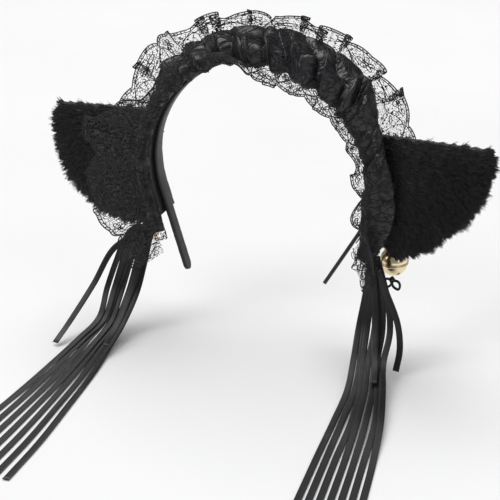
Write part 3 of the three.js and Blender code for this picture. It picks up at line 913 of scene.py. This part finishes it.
def ear_body(side):
    """Stuffed plush backing, crowned, with its seam running round the edge."""
    name = SIDE_NAMES[side]
    cells = np.linspace(0, 1, EAR_CELLS)
    u, v = np.meshgrid(cells, cells)
    rim = np.minimum(np.minimum(u + 0.05, 1 - u), np.minimum(v, 1 - v)) * 9
    round_off = np.sqrt(np.clip(rim, 0, 1) * (2 - np.clip(rim, 0, 1)))
    centre = ear_point(side, u * 0.96, -0.012 + 0.965 * v)
    lump = 0.5 * ripple(u * 55, 61, 24) * np.sin(math.pi * v)
    lump = lump + 0.4 * ripple(v * 55, 62, 20) * np.sin(math.pi * u)
    half = ear_half(u, v) * (0.12 + 0.83 * round_off) + 0.35 * lump * round_off
    centre[..., 0] *= side
    front, rear = centre.copy(), centre.copy()
    front[..., 1], rear[..., 1] = -half, half
    points, faces = closed_sheet(front, rear)
    item = make_object(f"ear_{name}_plush", points, turned_over(faces, side > 0), FUR_BACKING)
    rigid(
        item, f"ear_{name}", "plush",
        f"ear_front_panel_{name}", f"ear_back_panel_{name}", f"ear_filling_{name}",
    )


def fur(side, face):
    """Combed, clumped plush pile on one face of an ear: face -1 is the front, 1 the back."""
    name = SIDE_NAMES[side]
    word, count, seed = PILE[face]
    rng = np.random.default_rng(seed + side)
    # More strands stand at the free edge, and along the ear's top and foot.
    u = rng.uniform(0.0, 1.0, count) ** 0.72
    v = rng.uniform(0.0, 1.0, count)
    edge, top, foot = count // 7, count // 22, count // 16
    u[:edge] = 1 - 0.04 * rng.random(edge)
    v[edge:edge + top] = 0.03 * rng.random(top)
    v[edge + top:edge + top + foot] = 1 - 0.03 * rng.random(foot)
    u = np.clip(u, 0.01, 0.985)
    v = np.clip(v, 0.012, 0.988)
    root = ear_point(side, u * 0.965, -0.012 + 0.965 * v)
    rim = np.clip(np.minimum(1 - u, np.minimum(v, 1 - v)) * 9, 0, 1)
    half = ear_half(u, v) * (0.12 + 0.83 * np.sqrt(rim * (2 - rim)))
    root[:, 1] = face * half * 0.9
    # Comb: out from the band, turning downwards below the middle, in soft locks.
    out = unit(ear_point(side, u + 0.01, v) - ear_point(side, u - 0.01, v))
    down = np.array([0, 0, -1.0])
    comb = unit(out + down * (0.1 + 0.5 * v[:, None]) + np.array([0.1, 0, 0]))
    lock = 0.28 * np.sin(root[:, 0] * 0.9 + 1.4 * np.sin(root[:, 2] * 0.5))
    lock = lock + 0.2 * np.sin(root[:, 2] * 1.3 + root[:, 0] * 0.4)
    lock = lock + rng.normal(0, 0.16, count)
    turned = np.stack([
        comb[:, 0] * np.cos(lock) - comb[:, 2] * np.sin(lock), comb[:, 1],
        comb[:, 0] * np.sin(lock) + comb[:, 2] * np.cos(lock),
    ], -1)
    near_top = ease(1 - v, 0.93, 1.0)
    turned[:, 2] += near_top * rng.uniform(-0.25, 0.3, count)
    turned = unit(turned)
    length = rng.uniform(4.6, 9.2, count) * (1 - 0.35 * near_top)
    length = length * (1 - 0.25 * ease(u, 0.93, 1.0) * (v < 0.35))
    lift = rng.uniform(0.2, 0.75, count) * (0.35 + 0.65 * rim)
    normal = np.zeros_like(root)
    normal[:, 1] = face
    path = [root]
    for k, rise in enumerate((1.0, 0.35, -0.15), 1):
        step = unit(turned + normal * (lift * rise)[:, None] + down * (0.04 * k))
        path.append(path[-1] + step * (length / (STRAND_POINTS - 1))[:, None])
    # Tips draw together into tufts.
    tip = path[-1][:, [0, 2]]
    tuft = np.floor(tip / TUFT + 0.5 * np.sin(tip[:, ::-1] / 3.1)) * TUFT + TUFT / 2
    pull = rng.uniform(0.2, 0.65, count)[:, None]
    for k, share in ((2, 0.35), (3, 1.0)):
        path[k][:, [0, 2]] += (tuft - tip) * pull * share
    width = rng.uniform(0.3, 0.6, count)
    along = unit(path[-1] - path[0])
    across = unit(np.cross(along, normal))
    # Three points round the strand at each place but its tip, which is one point.
    rings = []
    for k, share in ((0, 1.0), (1, 0.95), (2, 0.65)):
        w = (width * share)[:, None] / 2
        rings += [path[k] - across * w, path[k] + across * w, path[k] + normal * w * 1.1]
    points = np.stack(rings + [path[3]], 1)
    points[..., 0] *= side
    pattern = [(2, 1, 0)]
    for k in (0, 3):
        pattern += [
            (k, k + 1, k + 4, k + 3), (k + 1, k + 2, k + 5, k + 4), (k + 2, k, k + 3, k + 5),
        ]
    pattern += [(6, 7, 9), (7, 8, 9), (8, 6, 9)]
    pattern = turned_over(pattern, face * side > 0)
    faces = [[STRAND_MESH * i + q for q in f] for i in range(count) for f in pattern]
    item = make_object(f"ear_{name}_fur_{word}", points.reshape(-1, 3), faces, FUR)
    rigid(item, f"ear_{name}", "plush", f"ear_{word}_panel_{name}")


for side in SIDE_NAMES:
    ear_body(side)
    for face in PILE:
        fur(side, face)

# ---------------------------------------------------------------- bells
BELL_PLACE = np.array([83, 7.3, -123.0])
BELL_RADIUS, BELL_WALL, BELL_SEGMENTS = 9.0, 0.7, 72
# The upper shell stands this far above the lower one.
SEAM_GAP = 0.35
EYE_MAJOR, EYE_MINOR, EYE_STEPS, EYE_SIDES = 2.2, 0.5, 48, 14
EYE_HEIGHT = BELL_RADIUS + 2 * SEAM_GAP + EYE_MAJOR + EYE_MINOR
# Slots: from the middle to where a round end starts, that end's radius, and the cutter's ends.
SLOT_REACH, SLOT_END, SLOT_LOW, SLOT_HIGH = 6.2, 1.5, -14.0, -2.2
PELLET_RADIUS, PELLET_GAP, PELLET_SEGMENTS, PELLET_RINGS = 2.4, 0.4, 28, 17
HANGER_BEND, HANGER_WIDTH, HANGER_THICK, HANGER_STEPS, HANGER_SIDES = 2.4, 0.9, 1.0, 56, 10
BOW_PLACE, BOW_LOOP, BOW_DEPTH = np.array([86.5, -6, -127.0]), 8.5, 2.4
BOW_WIDTH, BOW_THICK = 2.3, 1.5
KNOT_PLACE = np.array([79, -18.9, -118.5])
KNOT_WIDTH, KNOT_THICK = 1.9, 0.5


def lathe(profile, segments, wrap=True):
    """A turned body from (radius, height) points; wrap joins the last of them to the first."""
    profile = np.asarray(profile, float)
    turn = np.linspace(0, 2 * math.pi, segments, endpoint=False)
    points = np.stack([
        profile[:, None, 0] * np.cos(turn), profile[:, None, 0] * np.sin(turn),
        profile[:, None, 1] + 0 * turn,
    ], -1)
    count = len(profile)
    faces = ring_faces(count, segments) if wrap else grid_faces(count, segments, True)
    return points.reshape(-1, 3), faces


def arc(radius, start, end, count, least=0.02):
    """Points of an arc from one angle to another, never nearer the axis than least."""
    a = np.radians(np.linspace(start, end, count))
    return [(max(radius * math.cos(x), least), radius * math.sin(x)) for x in a]


def apply_modifiers(item):
    graph = bpy.context.evaluated_depsgraph_get()
    mesh = bpy.data.meshes.new_from_object(item.evaluated_get(graph))
    item.modifiers.clear()
    item.data = mesh


def put(points, side, place=BELL_PLACE):
    """Points moved to their place on the right, and mirrored for the left."""
    moved = points + place
    moved[..., 0] *= side
    return moved


def cut_slot(shell, side, turn):
    """One slot with round ends, cut up through the lower shell."""
    outline = []
    for way, base in ((1, 0), (-1, math.pi)):
        for a in np.linspace(-2.6, 2.6, 22):
            x = way * SLOT_REACH + SLOT_END * math.cos(a + base)
            outline.append((x, SLOT_END * math.sin(a + base)))
    c, s = math.cos(turn), math.sin(turn)
    points = np.array([
        (x * c - y * s, x * s + y * c, z) for z in (SLOT_LOW, SLOT_HIGH) for x, y in outline
    ])
    n = len(outline)
    faces = [[k, (k + 1) % n, n + (k + 1) % n, n + k] for k in range(n)]
    faces += [list(range(n - 1, -1, -1)), list(range(n, 2 * n))]
    cutter = solid("cutter", put(points, side), faces, GOLD)
    modifier = shell.modifiers.new("cut", "BOOLEAN")
    modifier.operation = "DIFFERENCE"
    modifier.solver = "EXACT"
    modifier.object = cutter
    apply_modifiers(shell)
    bpy.data.objects.remove(cutter)


def bell(side):
    """Two shells, an eyelet on the upper one and a pellet inside, slightly out of round."""
    name = SIDE_NAMES[side]
    body = f"bell_{name}"
    inner = BELL_RADIUS - BELL_WALL
    upper = arc(BELL_RADIUS, 2, 90, 26) + arc(inner, 90, 2, 22)
    upper = [(r, z + SEAM_GAP) for r, z in upper]
    flange = [(0.32, 0), (0.42, 0.25), (0.3, 0.55)]
    upper = [(BELL_RADIUS + r, SEAM_GAP + z) for r, z in flange] + upper + [(inner, SEAM_GAP)]
    points, faces = lathe(upper, BELL_SEGMENTS)
    top = solid(f"bell_{name}_upper", put(points, side), faces, GOLD)
    flange = [(0.25, -0.85), (0.48, -0.7), (0.5, -0.3), (0.4, -0.05), (0, 0)]
    lower = arc(BELL_RADIUS, -90, -6, 26) + [(BELL_RADIUS + r, z) for r, z in flange]
    lower += [(inner, 0)] + arc(inner, -2, -90, 22)
    points, faces = lathe(lower, BELL_SEGMENTS)
    bottom = solid(f"bell_{name}_lower", put(points, side), faces, GOLD)
    for turn in (math.pi / 4, -math.pi / 4):
        cut_slot(bottom, side, turn)
    rigid(top, body, "bell_gold", f"bell_upper_shell_{name}")
    rigid(bottom, body, "bell_gold", f"bell_lower_shell_{name}")
    a = np.linspace(0, 2 * math.pi, EYE_STEPS, endpoint=False)
    b = np.linspace(0, 2 * math.pi, EYE_SIDES, endpoint=False)
    a, b = np.meshgrid(a, b, indexing="ij")
    out = EYE_MAJOR + EYE_MINOR * np.cos(b)
    ring = np.stack([out * np.cos(a), EYE_MINOR * np.sin(b), out * np.sin(a) + EYE_HEIGHT], -1)
    eye = solid(
        f"bell_{name}_ring", put(ring.reshape(-1, 3), side),
        ring_faces(EYE_STEPS, EYE_SIDES), GOLD,
    )
    rigid(eye, body, "bell_gold", f"bell_eyelet_{name}")
    profile = arc(PELLET_RADIUS, -90, 90, PELLET_RINGS, 0.01)
    points, faces = lathe(profile, PELLET_SEGMENTS, wrap=False)
    faces.append(list(range(PELLET_SEGMENTS - 1, -1, -1)))
    faces.append(list(range((PELLET_RINGS - 1) * PELLET_SEGMENTS, len(points))))
    points = points * (1 + 0.012 * ripple(points[:, :1] * 3 + points[:, 2:] * 2, 81, 4))
    points[:, 2] += -inner + PELLET_RADIUS + PELLET_GAP
    ball = solid(f"bell_{name}_ball", put(points, side), faces, STEEL)
    rigid(ball, f"pellet_{name}", "pellet_steel", f"bell_pellet_{name}")


def hanger(side):
    """A narrow satin ribbon folded through the bell's eyelet and caught in the ear's seam."""
    name = SIDE_NAMES[side]
    low = EYE_MAJOR - EYE_MINOR - 0.5 - SEAM_GAP
    a = np.linspace(0, 2 * math.pi, HANGER_STEPS, endpoint=False)
    y = HANGER_BEND * np.sin(a)
    z = HANGER_BEND * np.cos(a)
    z = np.where(z > 0, z + 0.7 * HANGER_BEND * 2, z) + HANGER_BEND + low + EYE_HEIGHT
    path = put(np.stack([0 * a, y, z], -1), side)
    along = unit(np.roll(path, -1, 0) - np.roll(path, 1, 0))
    across = unit(np.cross(along, np.array([side, 0.0, 0.0])))
    face = np.cross(across, along)
    turn = np.linspace(0, 2 * math.pi, HANGER_SIDES, endpoint=False)
    co, si = (np.sign(k) * np.abs(k) ** 0.7 for k in (np.cos(turn), np.sin(turn)))
    ring = path[:, None] + across[:, None] * HANGER_WIDTH / 2 * co[None, :, None]
    ring = ring + face[:, None] * HANGER_THICK / 2 * si[None, :, None]
    faces = ring_faces(HANGER_STEPS, HANGER_SIDES)
    item = solid(f"hanger_{name}_ribbon", ring.reshape(-1, 3), faces, RIBBON)
    rigid(item, f"ear_{name}", "ribbon", f"hanger_loop_{name}")


def bow(side):
    """Two soft ribbon loops hanging under the knot."""
    name = SIDE_NAMES[side]
    lines = []
    for turn in (-1.1, -2.2):
        a = np.linspace(-0.93, 0.93, 44) * math.pi
        r = BOW_LOOP * 0.36
        along = BOW_LOOP * 0.62 + r * np.cos(a) * (1 + 0.12 * np.cos(a))
        across = r * 0.8 * np.sin(a) * (1 - 0.25 * np.cos(a / 2) ** 8)
        first = np.linspace(0, 1, 8, endpoint=False)[:, None]
        loop = np.stack([along, across], -1)
        loop = np.concatenate([loop[:1] * first, loop, loop[-1:] * (1 - first)])
        c, s = math.cos(turn), math.sin(turn)
        x = loop[:, 0] * c - loop[:, 1] * s
        z = loop[:, 0] * s + loop[:, 1] * c
        y = -BOW_DEPTH / 2 + 0.35 * np.sin(np.linspace(0, 5, len(x)))
        path = put(np.stack([x, y, z], -1), side, BOW_PLACE)
        normal = unit(np.cross(unit(np.gradient(path, axis=0)), np.array([0, 1.0, 0])))
        lines.append((path, normal, BOW_WIDTH, BOW_THICK))
    points, faces = swept(lines, 10)
    item = solid(f"bow_{name}_loops_ribbon", points, faces, RIBBON)
    rigid(item, f"arm_{name}", "ribbon", f"bow_loops_{name}")


def knot(side):
    """Ribbon wound twice round itself and pulled tight."""
    name = SIDE_NAMES[side]
    lines = []
    for k, (tilt, size) in enumerate(((0.25, 1.0), (-0.35, 0.92), (1.35, 0.8))):
        a = np.linspace(0.1, 2 * math.pi - 0.1, 40)
        x = 2.6 * size * np.cos(a) * math.cos(tilt)
        z = 2.3 * size * np.cos(a) * math.sin(tilt) + 0.5 * np.sin(a + k)
        y = 0.95 * size * np.sin(a)
        path = put(np.stack([x, y, z], -1), side, KNOT_PLACE)
        centre = KNOT_PLACE * np.array([side, 1, 1])
        lines.append((path, unit(path - centre), KNOT_WIDTH, KNOT_THICK))
    points, faces = swept(lines, 8)
    item = solid(f"knot_{name}_ribbon", points, faces, RIBBON)
    rigid(item, f"arm_{name}", "ribbon", f"bow_knot_{name}")


for side in SIDE_NAMES:
    bell(side)
    hanger(side)
    bow(side)
    knot(side)

# ---------------------------------------------------------------- stage and light
FLOOR_HALF, FLOOR_DROP = 6000.0, 0.45
# How bright the world is to the object, and how bright the camera sees it.
WORLD_LIGHT, WORLD_SEEN = 0.24, 0.97
# Soft lamps as wide as softboxes: name, the way the light comes from, width, strength.
LAMPS = [
    ("top", (-0.25, 0.3, 1.0), 55, 2.15),
    ("key", (-0.8, -0.75, 0.9), 30, 0.85),
    ("fill", (0.9, -0.5, 0.6), 40, 0.35),
]


def stage_and_light():
    material, tree, shader = node_material("floor", {"Roughness": 0.9})
    colour(tree, shader, noise(tree, "Object", 3, 3.0), (0.86, 0.86, 0.865), (0.9, 0.9, 0.9))
    corners = [(-1, -1), (1, -1), (1, 1), (-1, 1)]
    floor = make_object(
        "floor", [(x * FLOOR_HALF, y * FLOOR_HALF, FLOOR - FLOOR_DROP) for x, y in corners],
        [(0, 1, 2, 3)], material,
    )

    bpy.context.scene.view_settings.view_transform = "Standard"
    world = bpy.data.worlds.new("world")
    bpy.context.scene.world = world
    world.use_nodes = True
    sky = world.node_tree.nodes["Background"]
    sky.inputs["Color"].default_value = (1, 1, 1, 1)
    # The studio's wall is white, and lights the object only dimly.
    path = world.node_tree.nodes.new("ShaderNodeLightPath")
    level = spread(world.node_tree, path.outputs["Is Camera Ray"], WORLD_LIGHT, WORLD_SEEN)
    world.node_tree.links.new(level, sky.inputs["Strength"])
    for name, way, width, strength in LAMPS:
        data = bpy.data.lights.new(name, "SUN")
        data.angle = math.radians(width)
        data.energy = strength
        lamp = bpy.data.objects.new(name, data)
        lamp.rotation_euler = Vector(way).to_track_quat("Z", "Y").to_euler()
        bpy.context.scene.collection.objects.link(lamp)


stage_and_light()
